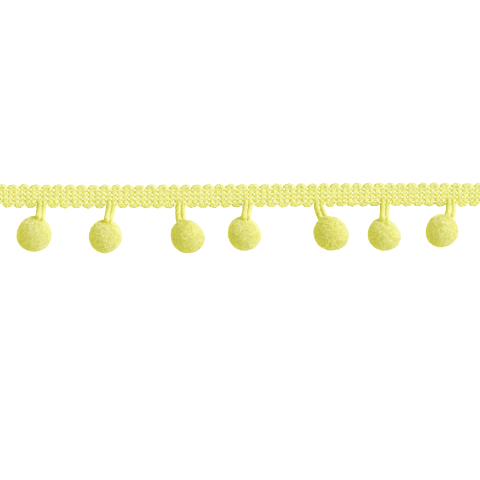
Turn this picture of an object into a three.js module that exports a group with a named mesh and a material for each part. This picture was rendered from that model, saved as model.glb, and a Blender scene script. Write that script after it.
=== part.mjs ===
// Pompom trim: a knitted heading braid with seven pompoms on yarn loops.
//
// Millimetres, +Z up. The trim lies flat on z = 0 as it is sold and sewn: the
// heading's flat back is down, its plain edge is towards +Y, and the pompoms
// hang off the other edge towards -Y. The origin is the middle of the heading's
// back. Each pompom rests on a small flat spot, and its loop rises to it.

import * as THREE from 'three';
import { mergeVertices } from 'three/addons/utils/BufferGeometryUtils.js';

// Heading braid

const TRIM_LENGTH = 178;
const RIBS_PER_LOOP = 12; // ribs of weft between one hanging loop and the next
const RIBS_BEFORE_FIRST_LOOP = 8;
const RIBS_AFTER_LAST_LOOP = 6;
const STEPS_PER_RIB = 4; // columns of points that round each rib
const NOTCH_HALF_WIDTH = 3.4; // middle line to the notches between scallops
const SCALLOP_DEPTH = 1.05; // how far a scallop stands out of its notches
const SCALLOP_ROUNDNESS = 0.8; // below 1 is blunter than a plain half wave
const RIB_CREST = 1.9;
const RIB_VALLEY = 1.2;
const TURN_FILL = 0.6; // how much of a valley the weft fills where it turns
const RIB_LEAN = 0.12; // sideways lean of a rib at the edges, in ribs
const SWAY = 0.36; // gentle wave of the laid braid along its length
const SWAY_LENGTH = 218;
const SWAY_START = 11;

// Stations across the braid, from the lower edge to the plain edge
const BRAID_STATIONS = [
  { edge: -1, inset: 0, share: 0.3 },
  { edge: -1, inset: 0.75, share: 1 },
  { edge: 1, inset: 0.75, share: 1 },
  { edge: 1, inset: 0, share: 0.3 },
];

// Hanging loops

const PIECE_GAP = 0.3;
const STRAND_RADIUS = 0.75;
const STRAND_SIDES = 6;
const STRAND_STEPS = 7; // steps along each strand, from the braid to the bend
const BEND_STEPS = 4; // steps round the closed end
const ROOT_SPREAD = 1.2; // middle of the loop to each strand at the braid
const BEND_RADIUS = 0.75; // the same at the closed end
const ROOT_HEIGHT = 0.95;
const LEAVE_BRAID = 1.5; // how long a strand keeps level at the braid
const ENTER_BALL = 1.3; // how long it keeps straight into the pompom

// Pompoms

const REST_HEIGHT = 0.94; // height of the middle, in radii, on the flat spot
const ROOT_SHARE = 0.7; // where the locks join, in radii
const SHOULDER_SHARE = 0.985; // edge of a lock's crown
const CROWN_SHARE = 1.02; // middle of a lock's crown
const HOLLOW_FLOOR = 0.74; // floor of the hollow where the loop is tied
const TIP_SHARE = 0.82; // how near the loop's closed end comes to the middle
const SHOULDER_INSET = 0.11; // corner of a lock to its crown's edge
const CROWN_INSET = 0.45; // corner of a lock to the middle of its crown
const LOCK_UNEVENNESS = 0.014; // of a lock's length
const CORNER_UNEVENNESS = 0.055; // of the place of a lock's corner, in radii
const LOCK_ROWS = [3, 2, 3]; // locks along X, Y and Z of the tied ball

// One row for each pompom, from -X to +X, all seen from above. loopX is where
// its loop leaves the braid. x, y and radius are the pompom's. tieTurn is the
// side of the pompom on which the loop goes in, in degrees from +Y towards +X,
// and tieLift is how far above the pompom's middle. The outline is a circle
// drawn out by stretch along stretchAt, with three soft corners of size lobe,
// one of them at lobeAt, all in degrees from +X towards +Y.
const POMPOMS = [
  { loopX: -72.4, x: -75.0, y: -14.0, radius: 6.65, tieTurn: 20, tieLift: 14, stretch: 0.016, stretchAt: 54, lobe: 0.015, lobeAt: -34 },
  { loopX: -47.1, x: -49.1, y: -14.8, radius: 6.27, tieTurn: 11, tieLift: 15, stretch: 0.012, stretchAt: 61, lobe: 0.008, lobeAt: 5 },
  { loopX: -21.8, x: -19.3, y: -14.9, radius: 6.33, tieTurn: -20, tieLift: -8, stretch: 0.04, stretchAt: -43, lobe: 0.018, lobeAt: -8 },
  { loopX: 2.7, x: 1.4, y: -13.9, radius: 6.33, tieTurn: 6, tieLift: 14, stretch: 0.036, stretchAt: -53, lobe: 0.02, lobeAt: -8 },
  { loopX: 28.6, x: 32.9, y: -13.8, radius: 6.53, tieTurn: -26, tieLift: -8, stretch: 0.04, stretchAt: -38, lobe: 0.014, lobeAt: -15 },
  { loopX: 52.7, x: 52.2, y: -14.2, radius: 6.14, tieTurn: 1, tieLift: 13, stretch: 0.042, stretchAt: -42, lobe: 0.02, lobeAt: -17 },
  { loopX: 76.7, x: 73.3, y: -12.85, radius: 6.2, tieTurn: 27, tieLift: -3, stretch: 0.016, stretchAt: 67, lobe: 0.016, lobeAt: -16 },
];

const YARN_COLOUR = 0xe9e97a;
const PILE_COLOUR = 0xe4e46e;

const yarnMaterial = new THREE.MeshStandardMaterial({ color: YARN_COLOUR, roughness: 0.85, metalness: 0 });
const pileMaterial = new THREE.MeshStandardMaterial({ color: PILE_COLOUR, roughness: 0.95, metalness: 0 });

// A fixed number from -1 to 1 for a set of whole numbers, for what is uneven by hand
function unevenness(...numbers) {
  const spread = 0x9e3779b9;
  const mix = 0x85ebca6b;
  let hash = spread;
  for (const number of numbers) {
    hash = Math.imul(hash ^ (number + 1), mix);
    hash ^= hash >>> 13;
  }
  hash = Math.imul(hash, spread);
  return ((hash ^ (hash >>> 16)) >>> 0) / 2 ** 31 - 1;
}

// A closed mesh's geometry from its triangles, each a list of three points
function geometryFromTriangles(triangles) {
  const geometry = new THREE.BufferGeometry().setFromPoints(triangles.flat());
  const merged = mergeVertices(geometry, 1e-3);
  merged.computeVertexNormals();
  return merged;
}

function pushQuad(triangles, a, b, c, d) {
  triangles.push([a, b, c], [a, c, d]);
}

// Where the ribs lie: a loop stands at every twelfth rib line, and the ribs
// between two loops share the space evenly
const LAST_LOOP_LINE = RIBS_PER_LOOP * (POMPOMS.length - 1);
const RIB_ANCHORS = [
  { line: -RIBS_BEFORE_FIRST_LOOP, x: -TRIM_LENGTH / 2 },
  ...POMPOMS.map((pompom, index) => ({ line: RIBS_PER_LOOP * index, x: pompom.loopX })),
  { line: LAST_LOOP_LINE + RIBS_AFTER_LAST_LOOP, x: TRIM_LENGTH / 2 },
];

function alongTrim(line) {
  const last = RIB_ANCHORS.length - 1;
  let index = RIB_ANCHORS.findIndex((anchor) => anchor.line > line);
  index = index === -1 ? last : Math.max(index, 1);
  const [before, after] = [RIB_ANCHORS[index - 1], RIB_ANCHORS[index]];
  return THREE.MathUtils.mapLinear(line, before.line, after.line, before.x, after.x);
}

function sway(x) {
  return SWAY * Math.sin((2 * Math.PI * (x - SWAY_START)) / SWAY_LENGTH);
}

// How far the weft has turned at an edge: 1 at a scallop's middle, 0 in a notch.
// The lower edge turns at even rib lines, but for a loop's, and the other at odd.
function turnAt(line, edge) {
  const quarter = (Math.PI * line) / 2;
  if (edge > 0) return Math.abs(Math.sin(quarter));
  const nearestLoop = RIBS_PER_LOOP * Math.round(line / RIBS_PER_LOOP);
  const atLoop = nearestLoop >= 0 && nearestLoop <= LAST_LOOP_LINE;
  return atLoop && Math.abs(line - nearestLoop) < 1 ? 0 : Math.abs(Math.cos(quarter));
}

function braidPoint(line, station) {
  const turn = turnAt(line, station.edge);
  const x = alongTrim(line + RIB_LEAN * station.edge * Math.sin(Math.PI * line));
  const reach = NOTCH_HALF_WIDTH + SCALLOP_DEPTH * turn ** SCALLOP_ROUNDNESS - station.inset;
  const rib = (1 - Math.cos(2 * Math.PI * line)) / 2;
  const fill = rib + (1 - rib) * TURN_FILL * turn ** 2;
  const height = THREE.MathUtils.lerp(RIB_VALLEY, RIB_CREST, fill) * station.share;
  return new THREE.Vector3(x, sway(x) + station.edge * reach, height);
}

function onFloor(point) {
  return new THREE.Vector3(point.x, point.y, 0);
}

// The heading: a flat back, scalloped edges and a face raised in ribs of weft
function buildHeadingBraid() {
  const firstLine = RIB_ANCHORS[0].line;
  const ribs = RIB_ANCHORS.at(-1).line - firstLine;
  const sections = [];
  for (let step = 0; step <= ribs * STEPS_PER_RIB; step += 1) {
    const line = firstLine + step / STEPS_PER_RIB;
    const face = BRAID_STATIONS.map((station) => braidPoint(line, station));
    sections.push([onFloor(face[0]), ...face, onFloor(face.at(-1))]);
  }
  const triangles = [];
  for (let index = 1; index < sections.length; index += 1) {
    const [left, right] = [sections[index - 1], sections[index]];
    left.forEach((point, station) => {
      const next = (station + 1) % left.length;
      pushQuad(triangles, point, right[station], right[next], left[next]);
    });
  }
  for (const [section, order] of [[sections[0], 1], [sections.at(-1), -1]]) {
    for (let station = 1; station < section.length - 1; station += 1) {
      const cap = [section[0], section[station], section[station + 1]];
      triangles.push(order > 0 ? cap : cap.reverse());
    }
  }
  return geometryFromTriangles(triangles);
}

function pompomMiddle(pompom) {
  return new THREE.Vector3(pompom.x, pompom.y, pompom.radius * REST_HEIGHT);
}

// The turn that brings the tied side of a ball, +Y, to where its loop goes in
function tieRotation(pompom) {
  const lift = THREE.MathUtils.degToRad(pompom.tieLift);
  const turn = THREE.MathUtils.degToRad(-pompom.tieTurn);
  return new THREE.Matrix4().makeRotationZ(turn).multiply(new THREE.Matrix4().makeRotationX(lift));
}

// A loop: one yarn doubled, level out of the braid, up to the pompom and into its hollow
function buildHangingLoop(pompom) {
  const rotation = tieRotation(pompom);
  const inwards = new THREE.Vector3(0, -1, 0).applyMatrix4(rotation);
  const side = new THREE.Vector3(1, 0, 0).applyMatrix4(rotation);
  const bendDistance = pompom.radius * TIP_SHARE + STRAND_RADIUS + BEND_RADIUS;
  const bendMiddle = pompomMiddle(pompom).addScaledVector(inwards, -bendDistance);
  const rootY = sway(pompom.loopX) - NOTCH_HALF_WIDTH - PIECE_GAP;

  const strand = (sign) => {
    const root = new THREE.Vector3(pompom.loopX + sign * ROOT_SPREAD, rootY, ROOT_HEIGHT);
    const bendStart = bendMiddle.clone().addScaledVector(side, sign * BEND_RADIUS);
    const curve = new THREE.CubicBezierCurve3(
      root,
      root.clone().add(new THREE.Vector3(0, -LEAVE_BRAID, 0)),
      bendStart.clone().addScaledVector(inwards, -ENTER_BALL),
      bendStart,
    );
    return curve.getPoints(STRAND_STEPS);
  };
  const bend = [];
  for (let step = 1; step < BEND_STEPS; step += 1) {
    const angle = (Math.PI * step) / BEND_STEPS;
    bend.push(
      bendMiddle
        .clone()
        .addScaledVector(side, -BEND_RADIUS * Math.cos(angle))
        .addScaledVector(inwards, BEND_RADIUS * Math.sin(angle)),
    );
  }
  const route = new THREE.CatmullRomCurve3([...strand(-1), ...bend, ...strand(1).reverse()]);
  const section = new THREE.Shape();
  for (let corner = 0; corner < STRAND_SIDES; corner += 1) {
    const angle = (2 * Math.PI * corner) / STRAND_SIDES;
    const [across, up] = [STRAND_RADIUS * Math.cos(angle), STRAND_RADIUS * Math.sin(angle)];
    if (corner === 0) section.moveTo(across, up);
    else section.lineTo(across, up);
  }
  section.closePath();
  return new THREE.ExtrudeGeometry(section, {
    steps: 2 * STRAND_STEPS + BEND_STEPS,
    extrudePath: route,
    bevelEnabled: false,
  });
}

// The direction of a corner of the lock grid: a cube's face grid blown up to a
// ball, with each corner moved a little, but for those round the tied hollow
function cornerDirection(grid, seed) {
  const direction = new THREE.Vector3(
    ...grid.map((step, axis) => Math.tan((Math.PI / 2) * (step / LOCK_ROWS[axis] - 0.5))),
  ).normalize();
  const hollowAngle = Math.PI / LOCK_ROWS[0];
  if (direction.angleTo(new THREE.Vector3(0, 1, 0)) < hollowAngle / 2) return direction;
  const shift = new THREE.Vector3(...[0, 1, 2].map((axis) => unevenness(seed, axis, ...grid)));
  return direction.addScaledVector(shift, CORNER_UNEVENNESS).normalize();
}

// The pompom's own outline, as a share of its radius in the direction given
function outlineShare(pompom, direction) {
  const around = Math.atan2(direction.y, direction.x);
  const level = Math.hypot(direction.x, direction.y);
  const stretchAt = THREE.MathUtils.degToRad(pompom.stretchAt);
  const lobeAt = THREE.MathUtils.degToRad(pompom.lobeAt);
  return (
    1 +
    pompom.stretch * level ** 2 * Math.cos(2 * (around - stretchAt)) +
    pompom.lobe * level ** 3 * Math.cos(3 * (around - lobeAt))
  );
}

// The six grids of locks, as the four corners of each lock, turned outwards
function lockCorners() {
  const locks = [];
  for (const axis of [0, 1, 2]) {
    const [first, second] = [(axis + 1) % 3, (axis + 2) % 3];
    for (const end of [0, LOCK_ROWS[axis]]) {
      for (let a = 0; a < LOCK_ROWS[first]; a += 1) {
        for (let b = 0; b < LOCK_ROWS[second]; b += 1) {
          const ring = [[a, b], [a + 1, b], [a + 1, b + 1], [a, b + 1]].map(([u, v]) => {
            const grid = [0, 0, 0];
            grid[axis] = end;
            grid[first] = u;
            grid[second] = v;
            return grid;
          });
          locks.push(end === 0 ? ring.reverse() : ring);
        }
      }
    }
  }
  return locks;
}

// A pompom: wedge-shaped locks of pile that join at their roots and part near
// the surface, with a hollow where the loop is tied. Those underneath are
// shorter and end level, so that the pompom rests.
function buildPompom(pompom, seed) {
  const rotation = tieRotation(pompom);
  const middle = pompomMiddle(pompom);
  const place = (direction, share) => {
    const turned = direction.clone().applyMatrix4(rotation);
    const free = pompom.radius * share * outlineShare(pompom, turned);
    const toFloor = turned.z < 0 ? middle.z / -turned.z : Infinity;
    const point = middle.clone().addScaledVector(turned, Math.min(free, toFloor));
    return free < toFloor ? point : onFloor(point);
  };
  const towards = (from, to, share) => from.clone().lerp(to, share).normalize();
  const triangles = [];
  lockCorners().forEach((grids, lock) => {
    const corners = grids.map((grid) => cornerDirection(grid, seed));
    const centre = corners.reduce((sum, corner) => sum.add(corner), new THREE.Vector3()).normalize();
    const isHollow = centre.y > Math.cos(Math.PI / 36);
    const length = 1 + LOCK_UNEVENNESS * unevenness(seed, lock);
    const shoulderShare = isHollow ? (ROOT_SHARE + HOLLOW_FLOOR) / 2 : SHOULDER_SHARE * length;
    const crownShare = isHollow ? HOLLOW_FLOOR : CROWN_SHARE * length;
    const roots = corners.map((corner) => place(corner, ROOT_SHARE));
    const shoulders = corners.map((corner) => place(towards(corner, centre, SHOULDER_INSET), shoulderShare));
    const crown = corners.map((corner) => place(towards(corner, centre, CROWN_INSET), crownShare));
    roots.forEach((root, index) => {
      const next = (index + 1) % roots.length;
      pushQuad(triangles, root, roots[next], shoulders[next], shoulders[index]);
      pushQuad(triangles, shoulders[index], shoulders[next], crown[next], crown[index]);
    });
    pushQuad(triangles, ...crown);
  });
  return geometryFromTriangles(triangles);
}

function addPiece(group, name, geometry, material) {
  const mesh = new THREE.Mesh(geometry, material);
  mesh.name = name;
  group.add(mesh);
}

const trim = new THREE.Group();
addPiece(trim, 'heading_braid', buildHeadingBraid(), yarnMaterial);
POMPOMS.forEach((pompom, index) => {
  addPiece(trim, `hanging_loop_${index + 1}`, buildHangingLoop(pompom), yarnMaterial);
  addPiece(trim, `pompom_${index + 1}`, buildPompom(pompom, index + 1), pileMaterial);
});

export default trim;
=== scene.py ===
"""The looks of a pompom trim: a knitted heading braid with seven pompoms on yarn loops.

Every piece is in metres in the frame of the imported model. Sizes of the trim
are written in millimetres, as a maker gives them, and multiplied by MM.
"""

from __future__ import annotations

import logging
import math
import random
from dataclasses import dataclass
from enum import Enum

import bpy
from mathutils import Matrix, Vector, geometry, noise

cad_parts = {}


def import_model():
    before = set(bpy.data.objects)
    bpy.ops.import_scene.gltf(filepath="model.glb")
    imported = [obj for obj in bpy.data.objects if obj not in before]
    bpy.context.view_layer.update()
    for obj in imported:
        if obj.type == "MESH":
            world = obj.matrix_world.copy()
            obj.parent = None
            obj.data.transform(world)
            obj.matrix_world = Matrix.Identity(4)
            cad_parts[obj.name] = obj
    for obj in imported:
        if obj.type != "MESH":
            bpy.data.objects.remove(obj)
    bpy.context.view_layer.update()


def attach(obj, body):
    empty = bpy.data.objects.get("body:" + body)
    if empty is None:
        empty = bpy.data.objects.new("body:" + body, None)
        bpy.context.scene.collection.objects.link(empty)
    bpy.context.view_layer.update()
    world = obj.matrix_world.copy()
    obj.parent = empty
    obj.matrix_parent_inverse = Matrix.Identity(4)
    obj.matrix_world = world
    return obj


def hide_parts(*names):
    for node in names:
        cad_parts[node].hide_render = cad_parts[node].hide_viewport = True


log = logging.getLogger("pompom_trim")

MM = 0.001
BODY = "root"

# Values kept on the meshes for their finishes: height in the pile, tone of a tuft, painted shade in the yarn.
PILE_HEIGHT = "pile_height"
FIBRE_LOT = "fibre_lot"
PAINTED_PLY_SHADE = "painted_ply_shade"

Triple = tuple[float, float, float]
Colour = Triple
Piece = bpy.types.Object
Socket = bpy.types.NodeSocket
WHITE: Colour = (1.0, 1.0, 1.0)


class Slot(Enum):
    """Material slots of the record."""

    HEADING = "heading_yarn"
    LOOP = "loop_yarn"
    PILE = "pompom_pile"


class Edge(Enum):
    """The two edges of the heading braid."""

    LOWER = -1
    PLAIN = 1


# Helpers for modelling by hand


def pick(piece: Piece) -> None:
    """Select one piece alone and make it active."""
    bpy.ops.object.select_all(action="DESELECT")
    piece.select_set(True)
    bpy.context.view_layer.objects.active = piece


def apply_place(piece: Piece) -> None:
    """Put a piece's place into its mesh and leave its object at the origin."""
    pick(piece)
    bpy.ops.object.transform_apply(location=True, rotation=True, scale=True)


def lay_flat(piece: Piece) -> None:
    """Press what reaches below the floor flat on it."""
    for vertex in piece.data.vertices:
        vertex.co.z = max(vertex.co.z, 0.0)


# Finishes


class NodeTable:
    """A node tree, with short calls to add and join its nodes."""

    def __init__(self, tree: bpy.types.NodeTree) -> None:
        """Work on the node tree of a material or of geometry nodes."""
        self.tree = tree

    def add(
        self, kind: str, inputs: dict[str | int, object] | None = None, **settings: object
    ) -> bpy.types.Node:
        """Add a node, set its fields and feed its inputs.

        Args:
            kind: Blender's name of the node type.
            inputs: sockets or plain values for its inputs, by name or number.
            settings: fields of the node.

        Returns:
            The new node.
        """
        node = self.tree.nodes.new(kind)
        for field, value in settings.items():
            setattr(node, field, value)
        for name, value in (inputs or {}).items():
            self.feed(node.inputs[name], value)
        return node

    def join(self, source: Socket, target: Socket) -> None:
        """Link an output socket to an input socket."""
        self.tree.links.new(source, target)

    def feed(self, target: Socket, value: object) -> None:
        """Give an input a value, or link it if the value is a socket.

        Args:
            target: the input socket.
            value: a socket or a plain value.
        """
        if isinstance(value, Socket):
            self.join(value, target)
        else:
            target.default_value = value

    def vector(self, operation: str, *values: object, scale: object = None) -> Socket:
        """Return the result of a vector sum.

        Args:
            operation: Blender's name of the vector operation.
            values: its inputs, sockets or plain values.
            scale: the factor, where it scales.

        Returns:
            The vector, or the number of a dot product.
        """
        node = self.add("ShaderNodeVectorMath", dict(enumerate(values)), operation=operation)
        if scale is not None:
            self.feed(node.inputs["Scale"], scale)
        return node.outputs["Value" if operation == "DOT_PRODUCT" else "Vector"]


class MaterialTable(NodeTable):
    """A material's nodes."""

    def __init__(self, name: str) -> None:
        """Start an empty material of one surface.

        Args:
            name: the material's name.
        """
        self.material = bpy.data.materials.new(name)
        self.material.use_nodes = True
        super().__init__(self.material.node_tree)
        self.tree.nodes.clear()

    def noise(self, per_mm: Triple, detail: float = 2.0) -> Socket:
        """Return a noise value in object coordinates.

        Args:
            per_mm: how many specks of noise there are to a millimetre on each axis.
            detail: how many finer layers it has.

        Returns:
            The noise from 0 to 1.
        """
        spot = self.add("ShaderNodeTexCoord").outputs["Object"]
        scale = tuple(count / MM for count in per_mm)
        spot = self.add("ShaderNodeMapping", {"Vector": spot, "Scale": scale}).outputs["Vector"]
        texture = self.add("ShaderNodeTexNoise", {"Vector": spot, "Scale": 1.0, "Detail": detail})
        return texture.outputs["Fac"]

    def ramp(self, factor: Socket, stops: list[tuple[float, Colour]]) -> Socket:
        """Return a colour ramp of a factor.

        Args:
            factor: the value that picks the colour.
            stops: places from 0 to 1, each with its colour.

        Returns:
            The colour socket.
        """
        node = self.add("ShaderNodeValToRGB", {"Fac": factor})
        elements = node.color_ramp.elements
        for _ in range(len(stops) - len(elements)):
            elements.new(0.5)
        for element, (position, colour) in zip(elements, stops):
            element.position = position
            element.color = (*colour, 1.0)
        return node.outputs["Color"]

    def tinted(self, share: float, colour: Socket, tint: Socket) -> Socket:
        """Return a colour multiplied by a share of a tint.

        Args:
            share: how much of the tint shows.
            colour: the colour under it.
            tint: what it is multiplied by.

        Returns:
            The colour socket.
        """
        inputs = {0: share, 6: colour, 7: tint}
        return self.add("ShaderNodeMix", inputs, data_type="RGBA", blend_type="MULTIPLY").outputs[2]

    def bump(self, height: Socket, depth: float, strength: float, over: Socket | None = None) -> Socket:
        """Return a normal that follows a height.

        Args:
            height: the height from 0 to 1.
            depth: how deep that is, in millimetres.
            strength: how much of it shows.
            over: the normal of a coarser relief under it.

        Returns:
            The normal socket.
        """
        node = self.add("ShaderNodeBump", {"Height": height, "Distance": depth * MM, "Strength": strength})
        if over is not None:
            self.join(over, node.inputs["Normal"])
        return node.outputs["Normal"]

    def surface(self, inputs: dict[str, object]) -> bpy.types.Material:
        """Finish the material with one surface.

        Args:
            inputs: sockets or plain values for the surface's inputs.

        Returns:
            The finished material.
        """
        surface = self.add("ShaderNodeBsdfPrincipled", inputs).outputs["BSDF"]
        self.add("ShaderNodeOutputMaterial", {"Surface": surface})
        return self.material


@dataclass(frozen=True)
class FibreShine:
    """How fibres take the light.

    Attributes:
        roughness: how matt they are.
        sheen, spread: how much their loose ends catch the light, and how widely.
        gloss: how strongly they shine.
    """

    roughness: float
    sheen: float
    spread: float
    gloss: float

    @property
    def inputs(self) -> dict[str, object]:
        """Return its values by the names of the surface's inputs."""
        names = ("Roughness", "Sheen Weight", "Sheen Roughness", "Specular IOR Level")
        return dict(zip(names, (self.roughness, self.sheen, self.spread, self.gloss)))


@dataclass(frozen=True)
class YarnFinish:
    """Soft spun yarn: streaks along the strand, and shade between its plies.

    Attributes:
        name: the material's name.
        shade: colour between the filaments, random tone and painted shade.
        body: main colour.
        light: colour of the raised filaments, random tone and painted light.
        between: what the colour is multiplied by between two plies, as painted shade.
        grain: specks of noise to a millimetre on X, Y and Z.
        filaments: the same for its single filaments.
        shine: how it takes the light.
        relief: depth of its streaks in millimetres, and how much of it shows.
        fine_relief: the same for its filaments.
    """

    name: str
    shade: Colour
    body: Colour
    light: Colour
    between: Colour = (0.82, 0.825, 0.74)
    grain: Triple = (2.6, 1.3, 2.6)
    filaments: Triple = (11.0, 2.2, 11.0)
    shine: FibreShine = FibreShine(0.6, 0.2, 0.5, 0.25)
    relief: tuple[float, float] = (0.12, 0.6)
    fine_relief: tuple[float, float] = (0.05, 0.7)

    def material(self) -> bpy.types.Material:
        """Return the finished material.

        Returns:
            The material.
        """
        bench = MaterialTable(self.name)
        streaks = bench.noise(self.grain, detail=3.0)
        # Random streaks, partly painted light and shade: the same noise raises the relief, so low streaks are
        # painted darker and raised ones lighter.
        colour = bench.ramp(streaks, [(0.3, self.shade), (0.5, self.body), (0.68, self.light)])
        # Painted shade: darker in the creases between plies and in the weft's turns.
        ply = bench.add("ShaderNodeAttribute", attribute_name=PAINTED_PLY_SHADE).outputs["Fac"]
        painted_crease_shade = bench.ramp(ply, [(0.0, self.between), (0.7, WHITE), (1.0, WHITE)])
        colour = bench.tinted(1.0, colour, painted_crease_shade)
        relief = bench.bump(streaks, *self.relief)
        relief = bench.bump(bench.noise(self.filaments), *self.fine_relief, over=relief)
        return bench.surface({"Base Color": colour, "Normal": relief, **self.shine.inputs})


@dataclass(frozen=True)
class PileFinish:
    """Dense clipped pile: pale ends over deeper, greener roots, painted as shade down in the pile.

    Attributes:
        name: the material's name.
        root: colour down in the pile, darker and greener as painted shade.
        middle: colour halfway up.
        tip: colour of the clipped ends.
        dark_patch, plain_patch: tints of the deepest and of the middling patches.
        dark_lot, plain_lot: tints of the deepest and of the middling tufts.
        mottle: how strongly patches differ.
        speckle: how strongly one tuft differs from the next.
        patch_grain, fibre_grain: patches and fibres of noise to a millimetre.
        shine: how it takes the light.
        relief: depth of the fibre grain in millimetres, and how much of it shows.
    """

    name: str
    root: Colour
    middle: Colour
    tip: Colour
    dark_patch: Colour = (0.82, 0.84, 0.62)
    plain_patch: Colour = (0.97, 0.97, 0.93)
    dark_lot: Colour = (0.74, 0.75, 0.62)
    plain_lot: Colour = (0.96, 0.96, 0.92)
    mottle: float = 0.5
    speckle: float = 0.4
    patch_grain: float = 0.9
    fibre_grain: float = 7.0
    shine: FibreShine = FibreShine(0.7, 0.3, 0.4, 0.6)
    relief: tuple[float, float] = (0.06, 0.4)

    def material(self) -> bpy.types.Material:
        """Return the finished material.

        Returns:
            The material.
        """
        bench = MaterialTable(self.name)
        # Painted shade: darker and greener down the fibres to their roots and on the felted ball under them.
        height = bench.add("ShaderNodeAttribute", attribute_name=PILE_HEIGHT).outputs["Fac"]
        colour = bench.ramp(height, [(0.0, self.root), (0.5, self.middle), (1.0, self.tip)])
        lot = bench.add("ShaderNodeAttribute", attribute_name=FIBRE_LOT).outputs["Fac"]
        lots = bench.ramp(lot, [(0.0, self.dark_lot), (0.5, self.plain_lot), (1.0, WHITE)])
        patches = bench.noise((self.patch_grain,) * 3, detail=4.0)
        shades = bench.ramp(patches, [(0.34, self.dark_patch), (0.5, self.plain_patch), (0.62, WHITE)])
        colour = bench.tinted(self.speckle, colour, lots)
        colour = bench.tinted(self.mottle, colour, shades)
        relief = bench.bump(bench.noise((self.fibre_grain,) * 3), *self.relief)
        return bench.surface({"Base Color": colour, "Normal": relief, **self.shine.inputs})


@dataclass(frozen=True)
class PaperFinish:
    """A plain white sheet of paper that is lit from behind a little.

    Attributes:
        name: the material's name.
        colour: colour of the paper.
        glow: how bright the light through it is.
        fleck: how dark its darker flecks are, as a share.
        fleck_grain: how many flecks there are to a millimetre.
        roughness: how matt it is.
    """

    name: str
    colour: Colour
    glow: float
    fleck: float = 0.98
    fleck_grain: float = 0.4
    roughness: float = 0.9

    def material(self) -> bpy.types.Material:
        """Return the finished material.

        Returns:
            The material.
        """
        bench = MaterialTable(self.name)
        flecks = bench.noise((self.fleck_grain,) * 3)
        darker = tuple(self.fleck * channel for channel in self.colour)
        return bench.surface(
            {
                "Base Color": bench.ramp(flecks, [(0.3, darker), (0.7, self.colour)]),
                "Roughness": self.roughness,
                "Emission Color": (*WHITE, 1.0),
                "Emission Strength": self.glow,
            }
        )


WEFT_YARN = YarnFinish("weft_yarn", (0.7, 0.69, 0.175), (0.84, 0.83, 0.215), (0.93, 0.915, 0.255))
CHAIN_THREAD = YarnFinish(
    "chain_thread",
    (0.93, 0.92, 0.28),
    (0.96, 0.95, 0.33),
    (0.98, 0.97, 0.38),
    grain=(5.0, 5.0, 5.0),
    shine=FibreShine(0.35, 0.2, 0.5, 0.8),
)
LOOP_YARN = YarnFinish(
    "loop_yarn",
    (0.51, 0.505, 0.08),
    (0.64, 0.63, 0.115),
    (0.77, 0.755, 0.16),
    # A lighter painted shade between its plies.
    between=(0.93, 0.93, 0.88),
    grain=(2.6, 0.8, 2.0),
    shine=FibreShine(0.6, 0.08, 0.5, 0.15),
)
CLIPPED_PILE = PileFinish("clipped_pile", (0.9, 0.89, 0.26), (0.98, 0.965, 0.38), (0.99, 0.98, 0.47))
WHITE_PAPER = PaperFinish("white_paper", (0.3, 0.3, 0.3), 1.9)


# The trim's own layout, shared by its pieces


@dataclass(frozen=True)
class PompomPlace:
    """Where one pompom lies and how it is drawn out, in millimetres and degrees.

    Attributes:
        loop_x: where its loop leaves the braid.
        x, y: its middle, seen from above.
        radius: its radius, to the ends of the pile.
        tie_turn: side on which the loop goes in, from +Y towards +X.
        tie_lift: how far above its middle the loop goes in.
        stretch, stretch_at: how far it is drawn out, and along which direction.
        lobe, lobe_at: size of its three soft corners, and where one of them is.
        parting: gap between the two strands of its loop.
        rest_share: height of its middle, in radii.
    """

    loop_x: float
    x: float
    y: float
    radius: float
    tie_turn: float
    tie_lift: float
    stretch: float
    stretch_at: float
    lobe: float
    lobe_at: float
    parting: float
    rest_share: float = 0.94

    @property
    def middle(self) -> Vector:
        """Return the pompom's middle in millimetres."""
        return Vector((self.x, self.y, self.radius * self.rest_share))

    @property
    def tie_matrix(self) -> Matrix:
        """Return the turn that brings +Y to the side where the loop goes in."""
        turn = Matrix.Rotation(math.radians(-self.tie_turn), 3, "Z")
        return turn @ Matrix.Rotation(math.radians(self.tie_lift), 3, "X")


PLACES = (
    PompomPlace(-72.4, -75.0, -14.0, 6.65, 20, 26, 0.016, 54, 0.015, -34, 0.1),
    PompomPlace(-47.1, -49.1, -14.8, 6.27, 11, 26, 0.012, 61, 0.008, 5, 0.05),
    PompomPlace(-21.8, -19.3, -14.9, 6.33, -20, -8, 0.04, -43, 0.018, -8, 0.45),
    PompomPlace(2.7, 1.4, -13.9, 6.33, 6, 26, 0.036, -53, 0.02, -8, 0.1),
    PompomPlace(28.6, 32.9, -13.8, 6.53, -26, -8, 0.04, -38, 0.014, -15, 0.45),
    PompomPlace(52.7, 52.2, -14.2, 6.14, 1, 24, 0.042, -42, 0.02, -17, 0.1),
    PompomPlace(76.7, 73.3, -12.85, 6.2, 27, -3, 0.016, 67, 0.016, -16, 0.5),
)


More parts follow.
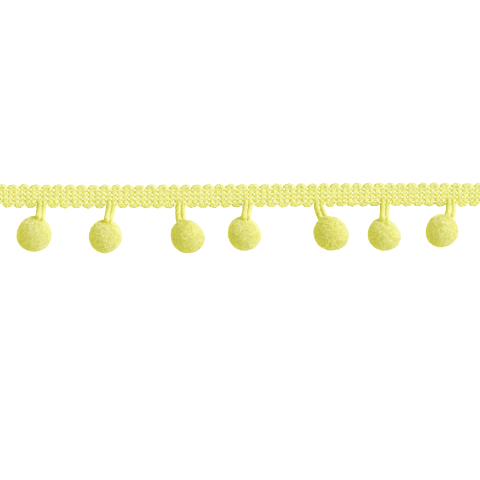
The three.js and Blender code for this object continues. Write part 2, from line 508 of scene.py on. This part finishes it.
@dataclass(frozen=True)
class TrimLayout:
    """How the ribs of weft share the length between the loops, in millimetres.

    A rib line is the gap between two ribs, and they are counted from the first loop.

    Attributes:
        length: length of the trim.
        ribs_per_loop: ribs from one loop to the next.
        ribs_before, ribs_after: ribs before the first loop and after the last.
        sway_height, sway_length, sway_start: the long wave in which the braid lies.
    """

    length: float = 178.0
    ribs_per_loop: int = 12
    ribs_before: int = 8
    ribs_after: int = 6
    sway_height: float = 0.36
    sway_length: float = 218.0
    sway_start: float = 11.0

    @property
    def last_loop_line(self) -> int:
        """Return the rib line of the last loop."""
        return self.ribs_per_loop * (len(PLACES) - 1)

    @property
    def lines(self) -> range:
        """Return the rib line on the left of each rib."""
        return range(-self.ribs_before, self.last_loop_line + self.ribs_after)

    @property
    def anchors(self) -> list[tuple[int, float]]:
        """Return the rib lines whose place is fixed, each with its x."""
        loops = [(self.ribs_per_loop * index, place.loop_x) for index, place in enumerate(PLACES)]
        return [(self.lines.start, -self.length / 2), *loops, (self.lines.stop, self.length / 2)]

    def along(self, line: float) -> float:
        """Return the x of a rib line.

        Args:
            line: its number, which may lie between two.

        Returns:
            Its x in millimetres.
        """
        spans = list(zip(self.anchors, self.anchors[1:]))
        span = next((span for span in spans if line <= span[1][0]), spans[-1])
        (before, x_before), (after, x_after) = span
        return x_before + (x_after - x_before) * (line - before) / (after - before)

    def sway(self, x: float) -> float:
        """Return how far the laid braid strays from a straight line at x."""
        return self.sway_height * math.sin(2 * math.pi * (x - self.sway_start) / self.sway_length)


LAYOUT = TrimLayout()


# Yarn


@dataclass
class StrandPoint:
    """One point of a strand: its place in millimetres, thickness, twist and painted shade."""

    place: Vector
    thickness: float = 1.0
    twist: float = 0.0
    # Painted shade: how much darker the yarn is painted at this point.
    shade: float = 0.0


@dataclass(frozen=True)
class YarnMaker:
    """Makes strands of yarn with a ridged section.

    Attributes:
        radius: mean radius in millimetres.
        sides: points round the section.
        ridges: filaments that stand up round the section.
        ridge_depth: how deep they are, as a share of the radius.
    """

    radius: float
    sides: int
    ridges: int
    ridge_depth: float

    def section(self) -> Piece:
        """Return the section as a closed flat curve.

        Returns:
            The curve object, which is removed once it is swept.
        """
        curve = bpy.data.curves.new("yarn_section", "CURVE")
        curve.dimensions = "2D"
        spline = curve.splines.new("POLY")
        spline.points.add(self.sides - 1)
        spline.use_cyclic_u = True
        for index, point in enumerate(spline.points):
            angle = 2 * math.pi * index / self.sides
            reach = self.radius * MM * (1 + self.ridge_depth * math.cos(self.ridges * angle))
            point.co = (reach * math.cos(angle), reach * math.sin(angle), 0.0, 1.0)
        section = bpy.data.objects.new("yarn_section", curve)
        bpy.context.collection.objects.link(section)
        return section

    def strands(self, name: str, routes: list[list[StrandPoint]]) -> Piece:
        """Return one mesh of all the strands, each swept along its route.

        Args:
            name: the piece's name.
            routes: the points of each strand, in millimetres.

        Returns:
            The mesh object, at the origin.
        """
        section = self.section()
        curve = bpy.data.curves.new(name, "CURVE")
        curve.dimensions = "3D"
        curve.bevel_mode = "OBJECT"
        curve.bevel_object = section
        curve.use_fill_caps = True
        curve.twist_mode = "MINIMUM"
        for route in routes:
            spline = curve.splines.new("POLY")
            spline.points.add(len(route) - 1)
            for point, knot in zip(spline.points, route):
                point.co = (*(knot.place * MM), 1.0)
                point.radius = knot.thickness
                point.tilt = knot.twist
        strand = bpy.data.objects.new(name, curve)
        bpy.context.collection.objects.link(strand)
        pick(strand)
        bpy.ops.object.convert(target="MESH")
        bpy.data.objects.remove(section)
        bpy.ops.object.shade_smooth()
        lay_flat(strand)
        # Where the yarn is painted darker: low in the creases between plies and in the turns.
        plies = strand.data.attributes.new(PAINTED_PLY_SHADE, "FLOAT", "POINT")
        # The closed ends come first in the mesh, and the last strand's before the first's.
        knots = [route[end] for route in reversed(routes) for end in (-1, 0)]
        knots += [knot for route in routes for knot in route]
        for index, height in enumerate(plies.data):
            angle = 2 * math.pi * (index % self.sides) / self.sides
            crest = 0.5 + 0.5 * math.cos(self.ridges * angle) if self.ridges > 1 else 1.0
            # The painted shade of the turns lowers the value, so the yarn is painted darker there.
            height.value = crest - knots[index // self.sides].shade
        return strand


def twist_evenly(route: list[StrandPoint], twist: float) -> None:
    """Turn a strand evenly along its route.

    Args:
        route: its points.
        twist: how fast it turns, in radians to a millimetre.
    """
    length = 0.0
    for before, knot in zip(route, route[1:]):
        length += (knot.place - before.place).length
        knot.twist = length * twist


def smooth_route(knots: list[Vector], steps: int) -> list[Vector]:
    """Return a smooth line through knots.

    Args:
        knots: the points it passes.
        steps: how many points it has from one knot to the next.

    Returns:
        The points of the line.
    """
    line = []
    last = len(knots) - 1
    for index in range(last):
        before, start = knots[max(index - 1, 0)], knots[index]
        end, after = knots[index + 1], knots[min(index + 2, last)]
        leave = start + (end - before) / 6
        arrive = end - (after - start) / 6
        line += geometry.interpolate_bezier(start, leave, arrive, end, steps + 1)[:-1]
    return [*line, knots[-1]]


# Fibres that stand out of yarn and pompoms


@dataclass(frozen=True)
class PileScatter:
    """Sets fibre ends over a piece as real geometry.

    Attributes:
        name: what the fibres are.
        fibre_length: how long the free end of a fibre is, in millimetres.
        fibre_radius: half its thickness at the root.
        spacing: least distance between two ends.
        nap: how far the pile lies down, away from the tie.
        ruffle: how far patches of it lie another way.
        tuft: how far the ends lean together into tufts.
        stray: how far one end leans by itself.
        tuft_size: distance between tufts, in millimetres.
        grain: how many tufts of one shade and length there are to a millimetre.
        grain_low, grain_high: noise values of the darkest and of the lightest tufts.
        shortest, longest: length of a fibre in those, as a share.
        patch_grain: how many patches that lie another way there are to a millimetre.
    """

    name: str
    fibre_length: float = 0.7
    fibre_radius: float = 0.05
    spacing: float = 0.09
    nap: float = 0.9
    ruffle: float = 1.4
    tuft: float = 0.9
    stray: float = 0.9
    tuft_size: float = 0.6
    grain: float = 1.5
    grain_low: float = 0.36
    grain_high: float = 0.64
    shortest: float = 0.7
    longest: float = 1.12
    patch_grain: float = 0.6

    def set_up(self) -> None:
        """Make the fibre and the nodes that copy it."""
        self.nodes(self.fibre())

    def put_away(self) -> None:
        """Take away the single fibre once all its copies are made."""
        bpy.data.objects.remove(bpy.data.objects[f"{self.name}_fibre"])

    def fibre(self) -> Piece:
        """Return one fibre end: a thin three-sided spike.

        Returns:
            The mesh object, with its root at the origin.
        """
        length = self.fibre_length * MM
        bpy.ops.mesh.primitive_cone_add(
            vertices=3, radius1=self.fibre_radius * MM, radius2=0, depth=length, location=(0, 0, length / 2)
        )
        fibre = bpy.context.object
        fibre.name = f"{self.name}_fibre"
        apply_place(fibre)
        heights = fibre.data.attributes.new(PILE_HEIGHT, "FLOAT", "POINT")
        for vertex, height in zip(fibre.data.vertices, heights.data):
            height.value = vertex.co.z / length
        # The fibres take no painted shade.
        for ply in fibre.data.attributes.new(PAINTED_PLY_SHADE, "FLOAT", "POINT").data:
            ply.value = 1.0
        return fibre

    def grow(self, piece: Piece, seed: int, tie: Vector | None = None) -> None:
        """Grow the fibres on a piece.

        Args:
            piece: the piece they stand on.
            seed: which chance layout it has.
            tie: the point that they lie away from, in millimetres, if they do.
        """
        nodes = bpy.data.node_groups[self.name]
        modifier = piece.modifiers.new(self.name, "NODES")
        modifier.node_group = nodes
        inputs = {item.name: item.identifier for item in nodes.interface.items_tree}
        modifier[inputs["Seed"]] = seed
        modifier[inputs["Tie"]] = tuple((tie or Vector()) * MM)
        pick(piece)
        bpy.ops.object.modifier_apply(modifier=modifier.name)
        lay_flat(piece)

    def lie(self, table: NodeTable, tie: Socket, up: Socket) -> Socket:
        """Return the direction in which each fibre lies.

        Args:
            table: the geometry nodes.
            tie: the point that they lie away from.
            up: the piece's normal at each fibre.

        Returns:
            The direction socket.
        """
        spot = table.add("GeometryNodeInputPosition").outputs["Position"]
        away = table.vector("NORMALIZE", table.vector("SUBTRACT", spot, tie))
        patches = table.add("ShaderNodeTexNoise", {"Scale": self.patch_grain / MM}).outputs["Color"]
        ruffle = table.vector("SUBTRACT", patches, (0.5, 0.5, 0.5))
        cells = table.add("ShaderNodeTexVoronoi", {"Scale": 1 / (self.tuft_size * MM)})
        to_tuft = table.vector("SUBTRACT", cells.outputs["Position"], spot)
        range_of_stray = {"Min": (-self.stray,) * 3, "Max": (self.stray,) * 3}
        chance = table.add("FunctionNodeRandomValue", range_of_stray, data_type="FLOAT_VECTOR")
        lean = table.vector("SCALE", away, scale=self.nap)
        for pull in (
            table.vector("SCALE", ruffle, scale=self.ruffle),
            table.vector("SCALE", to_tuft, scale=self.tuft / (self.tuft_size * MM)),
            chance.outputs["Value"],
        ):
            lean = table.vector("ADD", lean, pull)
        outwards = table.vector("SCALE", up, scale=table.vector("DOT_PRODUCT", lean, up))
        return table.vector("ADD", table.vector("SUBTRACT", lean, outwards), up)

    def nodes(self, fibre: Piece) -> None:
        """Make the geometry nodes that scatter a fibre, with inputs for the seed and the tie.

        Args:
            fibre: the fibre to copy.
        """
        group = bpy.data.node_groups.new(self.name, "GeometryNodeTree")
        for name, kind in (("Geometry", "Geometry"), ("Seed", "Int"), ("Tie", "Vector")):
            group.interface.new_socket(name, in_out="INPUT", socket_type=f"NodeSocket{kind}")
        group.interface.new_socket("Geometry", in_out="OUTPUT", socket_type="NodeSocketGeometry")
        table = NodeTable(group)
        entry = table.add("NodeGroupInput")
        piece = entry.outputs["Geometry"]
        points = table.add(
            "GeometryNodeDistributePointsOnFaces",
            {
                "Mesh": piece,
                "Distance Min": self.spacing * MM,
                "Density Max": 1.0 / (self.spacing * MM) ** 2,
                "Seed": entry.outputs["Seed"],
            },
            distribute_method="POISSON",
        )
        lie = self.lie(table, entry.outputs["Tie"], points.outputs["Normal"])
        turn = table.add("FunctionNodeAlignRotationToVector", {"Vector": lie}, axis="Z")
        source = table.add("GeometryNodeObjectInfo", {"Object": fibre})
        grain = table.add("ShaderNodeTexNoise", {"Scale": self.grain / MM, "Detail": 1.0}).outputs["Fac"]
        measured = {"Value": grain, "From Min": self.grain_low, "From Max": self.grain_high}
        lot = table.add("ShaderNodeMapRange", measured)
        size = table.add("ShaderNodeMapRange", {**measured, "To Min": self.shortest, "To Max": self.longest})
        copies = table.add(
            "GeometryNodeInstanceOnPoints",
            {
                "Points": points.outputs["Points"],
                "Instance": source.outputs["Geometry"],
                "Rotation": turn.outputs["Rotation"],
                "Scale": size.outputs["Result"],
            },
        )
        marked = table.add(
            "GeometryNodeStoreNamedAttribute",
            {"Geometry": copies.outputs["Instances"], "Name": FIBRE_LOT, "Value": lot.outputs["Result"]},
            data_type="FLOAT",
            domain="INSTANCE",
        )
        real = table.add("GeometryNodeRealizeInstances", {"Geometry": marked.outputs["Geometry"]})
        whole = table.add("GeometryNodeJoinGeometry", {"Geometry": real.outputs["Geometry"]})
        table.join(piece, whole.inputs["Geometry"])
        table.add("NodeGroupOutput", {"Geometry": whole.outputs["Geometry"]})


CLIPPED_ENDS = PileScatter("clipped_pile")
LOOSE_HAIRS = PileScatter(
    "loose_hairs",
    fibre_length=0.6,
    fibre_radius=0.016,
    spacing=0.47,
    nap=0.0,
    ruffle=2.0,
    tuft=0.0,
    stray=1.5,
)


# The heading braid

# Points of a chain stitch: share of the way to the next gap between ribs, side, height, thickness.
CHAIN_STITCH = (
    (0.02, 0.00, 0.70, 0.8),
    (0.12, 0.14, 1.28, 0.6),
    (0.50, 0.17, 1.40, 0.5),
    (0.86, 0.12, 1.46, 0.7),
    (0.97, 0.16, 1.72, 1.3),
    (1.05, 0.12, 1.80, 1.5),
    (1.03, -0.06, 1.80, 1.5),
    (0.94, -0.16, 1.72, 1.3),
    (0.84, -0.17, 1.46, 0.7),
    (0.50, -0.17, 1.40, 0.5),
    (0.12, -0.14, 1.28, 0.6),
    (0.02, -0.02, 0.70, 0.8),
    (0.12, 0.00, 0.22, 0.8),
    (0.90, 0.00, 0.22, 0.8),
)


@dataclass
class HeadingBraid:
    """Weft yarn laid back and forth in ribs, held by rows of chain stitches.

    Attributes:
        yarn: the weft, which is pressed a little into its neighbours.
        thread: the chain's thread.
        flatness: height of a rib as a share of its width.
        turn_height: where the weft starts to turn, from the braid's middle line.
        turn_rise: how far its middle line runs past that.
        turn_point: how pointed a turn is, where 1 is round.
        turn_thinning: how much thinner the yarn is at the top of a turn, as a share.
        plain_edge_painted_shade, lower_edge_painted_shade: how deep the painted shade is in the turns of each
        edge.
        unevenness: how far one turn's rise differs from the next.
        rib_stray, bulk_stray: how far a rib's place and thickness differ.
        lean: how far the ends of a rib lean to its turns.
        pinch_depth, pinch_width: how far, and over what length, a chain row draws a rib in.
        yarn_twist: how fast the weft twists, in radians to a millimetre.
        loop_end: where a rib that becomes a loop leaves the braid.
        rib_steps: points along a rib.
        turn_steps: points round a turn.
        chain_rows: the rows of chain stitches, from the middle line.
        stitch_stray: how far stitches differ to the side, in height and in thickness.
        stitch_steps: steps from one point of a stitch to the next.
        over_turn_bulk: thickness of a stitch that crosses a turn, as a share.
        seed: which chance layout it has.
    """

    yarn: YarnMaker = YarnMaker(1.3, 25, 5, 0.075)
    thread: YarnMaker = YarnMaker(0.2, 7, 1, 0.0)
    flatness: float = 0.68
    turn_height: float = 2.96
    turn_rise: float = 0.34
    turn_point: float = 1.5
    turn_thinning: float = 0.08
    # Painted shade in the weft's turns: deep at the plain edge, slight at the lower edge.
    plain_edge_painted_shade: float = 0.9
    lower_edge_painted_shade: float = 0.1
    unevenness: float = 0.14
    rib_stray: float = 0.05
    bulk_stray: float = 0.035
    lean: float = 0.14
    pinch_depth: float = 0.07
    pinch_width: float = 0.4
    yarn_twist: float = 1.3
    loop_end: float = -2.95
    rib_steps: int = 18
    turn_steps: int = 14
    chain_rows: tuple[float, ...] = (2.22, 0.62, -1.02, -2.8)
    stitch_stray: Triple = (0.12, 0.08, 0.15)
    stitch_steps: int = 2
    over_turn_bulk: float = 0.55
    seed: int = 11

    def pinch(self, y: float) -> float:
        """Return how thick the weft is at y, where a chain row draws it in."""
        drawn_in = sum(math.exp(-(((y - row) / self.pinch_width) ** 2)) for row in self.chain_rows)
        return 1.0 - self.pinch_depth * min(drawn_in, 1.0)

    def rib(self, line: int, chance: random.Random) -> list[StrandPoint]:
        """Return the straight part of one rib, from the lower edge up.

        Args:
            line: the rib line on its left.
            chance: the run of chance numbers.

        Returns:
            The points of the rib.
        """
        x = LAYOUT.along(line + 0.5) + self.rib_stray * chance.uniform(-1, 1)
        bulk = 1.0 + self.bulk_stray * chance.uniform(-1, 1)
        lean = self.lean * (1 if line % 2 == 0 else -1)
        loops_below = self.is_loop_line(line) or self.is_loop_line(line + 1)
        low = self.loop_end if loops_below else -self.turn_height
        points = []
        for step in range(self.rib_steps + 1):
            y = low + (self.turn_height - low) * step / self.rib_steps
            across = y / self.turn_height
            spot = Vector((x + lean * across, y + LAYOUT.sway(x), self.yarn.radius * bulk))
            points.append(StrandPoint(spot, bulk * self.pinch(y)))
        return points

    @staticmethod
    def is_loop_line(line: int) -> bool:
        """Return whether a hanging loop stands at this rib line."""
        return line % LAYOUT.ribs_per_loop == 0 and 0 <= line <= LAYOUT.last_loop_line

    def turn(
        self, start: StrandPoint, end: StrandPoint, edge: Edge, chance: random.Random
    ) -> list[StrandPoint]:
        """Return the weft's turn between two ribs at an edge.

        Args:
            start: the last point of the rib before it.
            end: the first point of the rib after it.
            edge: the edge at which it turns.
            chance: the run of chance numbers.

        Returns:
            The points between those two.
        """
        rise = self.turn_rise + self.unevenness * chance.uniform(-1, 1)
        # Painted shade of this turn, deepest at its top.
        shade = self.plain_edge_painted_shade if edge is Edge.PLAIN else self.lower_edge_painted_shade
        middle = (start.place + end.place) / 2
        half = (end.place - start.place) / 2
        points = []
        for step in range(1, self.turn_steps):
            angle = math.pi * step / self.turn_steps
            spot = middle - half * math.cos(angle)
            spot.y += edge.value * rise * math.sin(angle) ** self.turn_point
            bulk = start.thickness * (1 - self.turn_thinning * math.sin(angle))
            points.append(StrandPoint(spot, bulk, shade=shade * math.sin(angle)))
        return points

    def weft_routes(self) -> list[list[StrandPoint]]:
        """Return the weft from each loop to the next.

        Returns:
            The points of each stretch of yarn.
        """
        chance = random.Random(self.seed)
        routes: list[list[StrandPoint]] = [[]]
        for line in LAYOUT.lines:
            rib = self.rib(line, chance)
            if line % 2:
                rib.reverse()
            if self.is_loop_line(line):
                routes.append([])
            if routes[-1]:
                edge = Edge.PLAIN if line % 2 else Edge.LOWER
                routes[-1] += self.turn(routes[-1][-1], rib[0], edge, chance)
            routes[-1] += rib
        for route in routes:
            twist_evenly(route, self.yarn_twist)
        return routes

    def chain_route(self, row: float, chance: random.Random) -> list[StrandPoint]:
        """Return one row of chain stitches.

        Args:
            row: its distance from the braid's middle line.
            chance: the run of chance numbers.

        Returns:
            The points of the thread.
        """
        knots, bulks = [], []
        for line in LAYOUT.lines:
            side, rise, fuller = (stray * chance.uniform(-1, 1) for stray in self.stitch_stray)
            turn_side = self.chain_rows[-1] if line % 2 else self.chain_rows[0]
            fullness = self.over_turn_bulk if row == turn_side else 1.0 + fuller
            for along, across, height, bulk in CHAIN_STITCH:
                x = LAYOUT.along(min(line + along, LAYOUT.lines.stop))
                knots.append(Vector((x, row + side + across + LAYOUT.sway(x), height + rise)))
                bulks.append(bulk * fullness)
        spots = smooth_route(knots, self.stitch_steps)
        return [StrandPoint(spot, bulks[index // self.stitch_steps]) for index, spot in enumerate(spots)]

    def build(self) -> None:
        """Build the weft and the chain rows, dress them and place them on the frame."""
        weft = self.yarn.strands("heading_weft", self.weft_routes())
        pick(weft)
        bpy.ops.object.mode_set(mode="EDIT")
        bpy.ops.mesh.select_all(action="SELECT")
        bpy.ops.transform.resize(value=(1, 1, self.flatness), center_override=(0, 0, 0))
        bpy.ops.object.mode_set(mode="OBJECT")
        LOOSE_HAIRS.grow(weft, self.seed)
        finish_piece(weft, WEFT_YARN.material(), Slot.HEADING, "heading_braid")

        thread = CHAIN_THREAD.material()
        chance = random.Random(self.seed + 1)
        for index, row in enumerate(self.chain_rows, start=1):
            chain = self.thread.strands(f"chain_row_{index}", [self.chain_route(row, chance)])
            finish_piece(chain, thread, Slot.HEADING)


def finish_piece(piece: Piece, material: bpy.types.Material, slot: Slot, *nodes: str) -> None:
    """Give a piece its material and its body.

    Args:
        piece: the finished piece.
        material: what it is dressed in.
        slot: the record's slot that it takes its finish from; not used.
        nodes: the frame's nodes that it stands for.
    """
    piece.data.materials.clear()
    piece.data.materials.append(material)
    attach(piece, BODY)
    if nodes:
        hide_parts(*nodes)
    triangles = sum(len(face.vertices) - 2 for face in piece.data.polygons)
    log.info("%s: %d triangles", piece.name, triangles)


# Hanging loops


@dataclass
class HangingLoop:
    """Two strands of yarn from the braid to a pompom's tie, and the tie's end behind them.

    Attributes:
        number: which loop it is, from the left.
        place: where it leaves the braid and enters its pompom.
        yarn: its yarn.
        front_bulk, back_bulk: how thick the left and the right strand are.
        overlap: how far the left strand lies above the right one.
        tail_bulk, tail_drop: how thick the tie's end is, and how far below the strands it runs.
        strand_twist, tail_twist: how fast they twist, in radians to a millimetre.
        root, root_spread: y and height where they start, inside the ribs, and how far from the middle.
        root_bulk, root_growth: their thickness there, and how much more they have at each step.
        leave, leave_rise: y and height where they leave the braid, and share of their own height there.
        neck, neck_spread: where they enter the pompom, in its radii, and how far apart, in their own.
        heart, heart_spread: where they end in it, and how much of that spread is left.
        leave_pull, neck_pull: how far they keep their direction at each end.
        steps: points in the braid, between the two and in the pompom.
    """

    number: int
    place: PompomPlace
    yarn: YarnMaker = YarnMaker(1.12, 24, 4, 0.035)
    front_bulk: float = 1.08
    back_bulk: float = 0.94
    overlap: float = 0.16
    tail_bulk: float = 0.6
    tail_drop: float = 0.6
    strand_twist: float = 0.6
    tail_twist: float = 1.2
    root: tuple[float, float] = (-1.5, 0.86)
    root_spread: float = 0.85
    root_bulk: float = 0.7
    root_growth: float = 0.06
    leave: tuple[float, float] = (-3.8, 1.12)
    leave_rise: float = 0.3
    neck: float = 1.04
    neck_spread: float = 0.62
    heart: float = 0.55
    heart_spread: float = 0.5
    leave_pull: float = 1.2
    neck_pull: float = 1.1
    steps: tuple[int, int, int] = (5, 16, 4)

    def route(self, spread: float, height: float, bulk: float, twist: float) -> list[StrandPoint]:
        """Return one strand, from inside the braid to inside the pompom.

        Args:
            spread: its side, -1 on the left, 0 in the middle and 1 on the right.
            height: how far it is above the loop's middle, in millimetres.
            bulk: its thickness.
            twist: how fast it turns, in radians to a millimetre.

        Returns:
            The points of the strand.
        """
        place = self.place
        outwards, side, over = (place.tie_matrix @ Vector(axis) for axis in ((0, 1, 0), (1, 0, 0), (0, 0, 1)))
        root_x = place.loop_x + self.root_spread * spread
        sway = LAYOUT.sway(place.loop_x)
        root = Vector((root_x, self.root[0] + sway, self.root[1]))
        leave = Vector((root_x, self.leave[0] + sway, self.leave[1] + self.leave_rise * height))
        across = side * spread * (self.neck_spread * self.yarn.radius + place.parting / 2) + over * height
        neck = place.middle + outwards * place.radius * self.neck + across
        heart = place.middle + outwards * place.radius * self.heart + self.heart_spread * across
        in_braid, between, in_pompom = self.steps
        bends = leave + Vector((0, -self.leave_pull, 0)), neck + outwards * self.neck_pull
        spots = [root.lerp(leave, step / in_braid) for step in range(in_braid)]
        spots += geometry.interpolate_bezier(leave, *bends, neck, between)
        spots += [neck.lerp(heart, step / in_pompom) for step in range(1, in_pompom + 1)]
        points = [StrandPoint(spot, bulk) for spot in spots]
        for step, point in enumerate(points[:in_braid]):
            point.thickness = bulk * (self.root_bulk + self.root_growth * step)
        twist_evenly(points, twist)
        return points

    def build(self, material: bpy.types.Material) -> None:
        """Build the strands as one piece and place it on the frame.

        Args:
            material: the finish of its yarn.
        """
        strands = [
            self.route(-1.0, self.overlap, self.front_bulk, self.strand_twist),
            self.route(1.0, -self.overlap, self.back_bulk, self.strand_twist),
            self.route(0.0, -self.tail_drop, self.tail_bulk, self.tail_twist),
        ]
        loop = self.yarn.strands(f"yarn_loop_{self.number}", strands)
        LOOSE_HAIRS.grow(loop, self.number)
        finish_piece(loop, material, Slot.LOOP, f"hanging_loop_{self.number}")


# Pompoms


@dataclass
class Pompom:
    """One wound, tied and clipped pompom.

    Attributes:
        number: which pompom it is, from the left.
        place: where it lies and how it is drawn out.
        pile: how far its fibres stand out of the felted ball, in millimetres.
        pressed: how much of the pile is left under the ball where it rests.
        hollow_depth, hollow_width: how far the tie draws it in, and over how many degrees.
        lumps: height, fineness and shift from pompom to pompom of its clumps and its tufts.
        divisions: how often the ball's faces are divided.
    """

    number: int
    place: PompomPlace
    pile: float = 0.42
    pressed: float = 0.6
    hollow_depth: float = 0.012
    hollow_width: float = 16.0
    lumps: tuple[tuple[float, float, Triple], ...] = (
        (0.024, 4.2, (9.0, 0.0, 0.0)),
        (0.02, 9.0, (0.0, 5.0, 0.0)),
    )
    divisions: int = 5

    @property
    def tie_side(self) -> Vector:
        """Return the direction from the middle to the tie."""
        return self.place.tie_matrix @ Vector((0, 1, 0))

    def reach(self, direction: Vector) -> float:
        """Return how far the felted ball reaches.

        Args:
            direction: the direction from its middle, one unit long.

        Returns:
            The reach in millimetres.
        """
        place = self.place
        around = math.atan2(direction.y, direction.x)
        level = math.hypot(direction.x, direction.y)
        share = 1.0
        share += place.stretch * level**2 * math.cos(2 * (around - math.radians(place.stretch_at)))
        share += place.lobe * level**3 * math.cos(3 * (around - math.radians(place.lobe_at)))
        off_tie = math.degrees(direction.angle(self.tie_side))
        share -= self.hollow_depth * math.exp(-((off_tie / self.hollow_width) ** 2))
        share += sum(
            height * noise.noise(direction * fineness + Vector(shift) * self.number)
            for height, fineness, shift in self.lumps
        )
        return place.radius * share - self.pile

    def ball(self) -> Piece:
        """Return the felted ball under the pile.

        Returns:
            The ball's mesh object, at the origin.
        """
        bpy.ops.mesh.primitive_ico_sphere_add(subdivisions=self.divisions, radius=1.0)
        ball = bpy.context.object
        ball.name = f"pompom_pile_{self.number}"
        floor = self.pile * self.pressed
        for vertex in ball.data.vertices:
            direction = vertex.co.normalized()
            spot = self.place.middle + direction * self.reach(direction)
            spot.z = max(spot.z, floor)
            vertex.co = spot * MM
        bpy.ops.object.shade_smooth()
        return ball

    def build(self, material: bpy.types.Material) -> None:
        """Build the pompom, dress it and place it on the frame.

        Args:
            material: the finish of its pile.
        """
        ball = self.ball()
        CLIPPED_ENDS.grow(ball, self.number, self.place.middle + self.tie_side * self.place.radius)
        finish_piece(ball, material, Slot.PILE, f"pompom_{self.number}")


# The studio


@dataclass
class Studio:
    """Camera, floor and light.

    Attributes:
        view_width: what the camera sees across, in millimetres.
        aim: middle of the view, in millimetres.
        lens, sensor: the camera's lens, long so that it sees straight down all over, and its sensor.
        face_height: height at which the view is that wide, in millimetres.
        sight: how far the camera sees, in metres.
        floor_size: side of the floor, in metres.
        floor_drop: how far the floor is below the trim, in millimetres.
        sky: brightness of the light from all round.
        sky_colour: its colour, a little warm.
        key: brightness of the light from the upper right.
        key_colour: its colour, cool against the sky.
        key_from: direction that light comes from.
        key_softness: how wide it is, in degrees.
        tones: how bright each brightness of the scene is in the picture.
        white: the brightness that is pure white in the picture.
    """

    view_width: float = 174.72
    aim: tuple[float, float] = (-0.18, -16.2)
    lens: float = 800.0
    sensor: float = 36.0
    face_height: float = 3.0
    sight: float = 50.0
    floor_size: float = 12.0
    floor_drop: float = 0.02
    sky: float = 0.84
    sky_colour: Colour = (1.0, 0.99, 0.72)
    key: float = 3.5
    key_colour: Colour = (0.92, 0.9, 2.3)
    key_from: Triple = (0.86, 0.37, 0.35)
    key_softness: float = 35.0
    tones: tuple[tuple[float, float], ...] = (
        (0.14, 0.115), (0.285, 0.3), (0.5, 0.55), (0.75, 0.765), (0.95, 0.9), (1.2, 0.97)
    )
    white: float = 1.6

    def camera(self) -> None:
        """Make the camera, which looks straight down."""
        data = bpy.data.cameras.new("view_from_above")
        data.sensor_width = self.sensor
        data.lens = self.lens
        data.clip_end = self.sight
        camera = bpy.data.objects.new("view_from_above", data)
        distance = self.view_width * MM * self.lens / self.sensor
        camera.location = (self.aim[0] * MM, self.aim[1] * MM, distance + self.face_height * MM)
        bpy.context.collection.objects.link(camera)
        bpy.context.scene.camera = camera

    def floor(self) -> None:
        """Make the floor on which the trim lies."""
        bpy.ops.mesh.primitive_plane_add(size=self.floor_size, location=(0, 0, -self.floor_drop * MM))
        floor = bpy.context.object
        floor.name = "paper_floor"
        apply_place(floor)
        floor.data.materials.append(WHITE_PAPER.material())
        floor.visible_diffuse = False

    def lights(self) -> None:
        """Make the light from all round and the soft light from the upper right."""
        world = bpy.data.worlds.new("white_room")
        world.use_nodes = True
        background = world.node_tree.nodes["Background"]
        background.inputs["Color"].default_value = (*self.sky_colour, 1.0)
        background.inputs["Strength"].default_value = self.sky
        bpy.context.scene.world = world
        data = bpy.data.lights.new("upper_right_light", "SUN")
        data.energy = self.key
        data.color = self.key_colour
        data.angle = math.radians(self.key_softness)
        light = bpy.data.objects.new("upper_right_light", data)
        light.rotation_euler = Vector(self.key_from).to_track_quat("Z", "Y").to_euler()
        bpy.context.collection.objects.link(light)

    def development(self) -> None:
        """Set how the picture is developed: with deep soft shades and full lights."""
        settings = bpy.context.scene.view_settings
        settings.view_transform = "Standard"
        settings.use_curve_mapping = True
        settings.curve_mapping.white_level = (self.white,) * 3
        curve = settings.curve_mapping.curves[3]
        curve.points[0].location = (0.0, 0.0)
        curve.points[1].location = (1.0, 1.0)
        for brightness, shown in self.tones:
            curve.points.new(brightness / self.white, shown)
        settings.curve_mapping.update()

    def build(self) -> None:
        """Make the whole studio."""
        self.camera()
        self.floor()
        self.lights()
        self.development()


def main() -> None:
    """Build the trim on its frame, piece by piece."""
    logging.basicConfig(level=logging.INFO, format="%(name)s: %(message)s")
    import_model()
    Studio().build()
    for fibres in (LOOSE_HAIRS, CLIPPED_ENDS):
        fibres.set_up()
    HeadingBraid().build()
    loop_yarn, pile = LOOP_YARN.material(), CLIPPED_PILE.material()
    for number, place in enumerate(PLACES, start=1):
        HangingLoop(number, place).build(loop_yarn)
        Pompom(number, place).build(pile)
    for fibres in (LOOSE_HAIRS, CLIPPED_ENDS):
        fibres.put_away()


if __name__ == "__main__":
    main()
